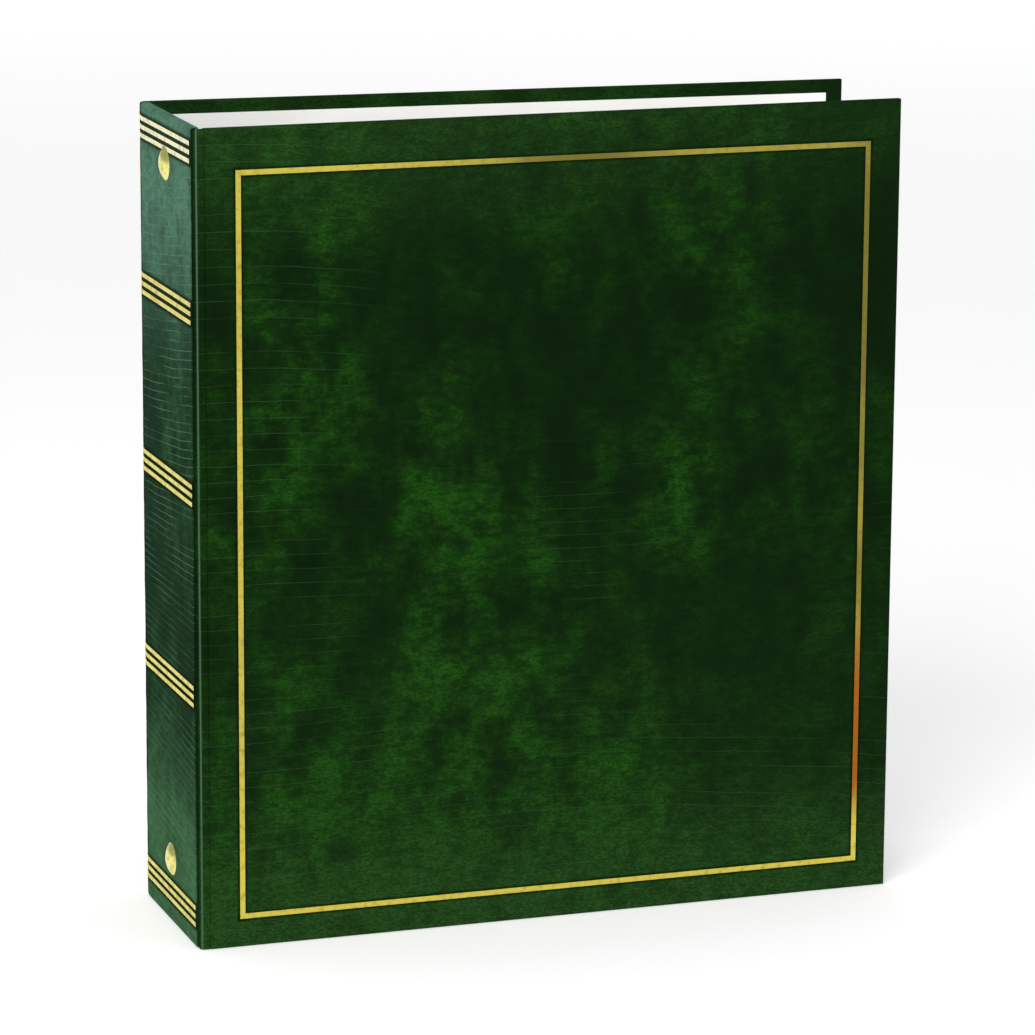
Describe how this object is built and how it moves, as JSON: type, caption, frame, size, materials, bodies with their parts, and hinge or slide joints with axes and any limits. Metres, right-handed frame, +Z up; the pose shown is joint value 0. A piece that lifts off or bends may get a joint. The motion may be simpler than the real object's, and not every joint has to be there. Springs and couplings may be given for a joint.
{
  "type": "stamp album",
  "caption": "Upright three-panel ring-binder album with a leatherette cover, round rings on the spine and card leaves with clear stamp strips.",
  "frame": {"origin": "middle of the spine panel's foot, on the surface the album stands on", "axes": "+X from the spine towards the fore edges, -Y towards the front cover, +Z up"},
  "size_m": [0.2812, 0.0779, 0.311],
  "materials": {
    "spine_leatherette": "satin grained leatherette, teal green",
    "cover_leatherette": "grained leatherette, dark mottled green",
    "gilt": "gilt foil",
    "board": "grey binder's board",
    "endpaper": "matt white paper",
    "leaf": "matt white card",
    "clear_strip": "clear film",
    "brass": "polished brass",
    "ring_steel": "nickel-plated steel",
    "spring_steel": "plain spring steel"
  },
  "bodies": {
    "spine": {"spine_wrap": "spine_leatherette", "spine_board": "board", "spine_lining": "spine_leatherette", "spine_bands": "gilt", "front_joint": "spine_leatherette", "back_joint": "spine_leatherette", "ring_shield": "ring_steel", "lever_pins": "ring_steel", "spine_rivets": "brass", "rivet_collars": "brass"},
    "front_cover": {"front_wrap": "cover_leatherette", "front_board": "board", "front_endpaper": "endpaper", "front_frame_foil": "gilt"},
    "back_cover": {"back_wrap": "cover_leatherette", "back_board": "board", "back_endpaper": "endpaper"},
    "front_rings": {"front_blade": "spring_steel", "front_ring_bottom": "ring_steel", "front_ring_middle": "ring_steel", "front_ring_top": "ring_steel"},
    "back_rings": {"back_blade": "spring_steel", "back_ring_bottom": "ring_steel", "back_ring_middle": "ring_steel", "back_ring_top": "ring_steel"},
    "top_lever": {"top_lever": "ring_steel"},
    "bottom_lever": {"bottom_lever": "ring_steel"},
    "front_leaves": {"front_leaf_stack": "leaf", "front_stack_strips": "clear_strip"},
    "front_leaf_2": {"front_leaf_2": "leaf", "front_leaf_2_strips": "clear_strip"},
    "front_leaf_1": {"front_leaf_1": "leaf", "front_leaf_1_strips": "clear_strip"},
    "back_leaf_1": {"back_leaf_1": "leaf", "back_leaf_1_strips": "clear_strip"},
    "back_leaf_2": {"back_leaf_2": "leaf", "back_leaf_2_strips": "clear_strip"},
    "back_leaves": {"back_leaf_stack": "leaf", "back_stack_strips": "clear_strip"}
  },
  "joints": [
    {"name": "front_cover_hinge", "type": "hinge", "parent": "spine", "child": "front_cover", "pos_m": [-0.00035, -0.0377, 0.1555], "axis": [0, 0, -1], "range_deg": [0, 90], "deforming": ["front_joint"]},
    {"name": "back_cover_hinge", "type": "hinge", "parent": "spine", "child": "back_cover", "pos_m": [-0.00035, 0.0377, 0.1555], "axis": [0, 0, 1], "range_deg": [0, 93.5], "deforming": ["back_joint"]},
    {"name": "front_ring_hinge", "type": "hinge", "parent": "spine", "child": "front_rings", "pos_m": [0.00425, -0.0129, 0.159], "axis": [0, 0, -1], "range_deg": [0, 7.5]},
    {"name": "back_ring_hinge", "type": "hinge", "parent": "spine", "child": "back_rings", "pos_m": [0.00425, 0.0129, 0.159], "axis": [0, 0, 1], "range_deg": [0, 7.5]},
    {"name": "top_lever_hinge", "type": "hinge", "parent": "spine", "child": "top_lever", "pos_m": [0.0045, 0, 0.3], "axis": [0, -1, 0], "range_deg": [0, 14]},
    {"name": "bottom_lever_hinge", "type": "hinge", "parent": "spine", "child": "bottom_lever", "pos_m": [0.0045, 0, 0.018], "axis": [0, 1, 0], "range_deg": [0, 14]},
    {"name": "front_leaves_turn", "type": "hinge", "parent": "spine", "child": "front_leaves", "pos_m": [0.03679, 0, 0.159], "axis": [0, 0, -1], "range_deg": [0, 93]},
    {"name": "front_leaf_2_turn", "type": "hinge", "parent": "spine", "child": "front_leaf_2", "pos_m": [0.03679, 0, 0.159], "axis": [0, 0, -1], "range_deg": [0, 62]},
    {"name": "front_leaf_1_turn", "type": "hinge", "parent": "spine", "child": "front_leaf_1", "pos_m": [0.03679, 0, 0.159], "axis": [0, 0, -1], "range_deg": [0, 31]},
    {"name": "back_leaf_1_turn", "type": "hinge", "parent": "spine", "child": "back_leaf_1", "pos_m": [0.03679, 0, 0.159], "axis": [0, 0, 1], "range_deg": [0, 31]},
    {"name": "back_leaf_2_turn", "type": "hinge", "parent": "spine", "child": "back_leaf_2", "pos_m": [0.03679, 0, 0.159], "axis": [0, 0, 1], "range_deg": [0, 62]},
    {"name": "back_leaves_turn", "type": "hinge", "parent": "spine", "child": "back_leaves", "pos_m": [0.03679, 0, 0.159], "axis": [0, 0, 1], "range_deg": [0, 93]}
  ],
  "couplings": [
    {"joint": "back_ring_hinge", "follows": "front_ring_hinge", "ratio": 1},
    {"joint": "top_lever_hinge", "follows": "front_ring_hinge", "ratio": 1.8667},
    {"joint": "bottom_lever_hinge", "follows": "front_ring_hinge", "ratio": 1.8667},
    {"joint": "front_leaves_turn", "follows": "front_cover_hinge", "ratio": 1.0333},
    {"joint": "front_leaf_2_turn", "follows": "front_cover_hinge", "ratio": 0.68889},
    {"joint": "front_leaf_1_turn", "follows": "front_cover_hinge", "ratio": 0.34444},
    {"joint": "back_leaf_1_turn", "follows": "back_cover_hinge", "ratio": 0.33155},
    {"joint": "back_leaf_2_turn", "follows": "back_cover_hinge", "ratio": 0.6631},
    {"joint": "back_leaves_turn", "follows": "back_cover_hinge", "ratio": 0.99465}
  ]
}
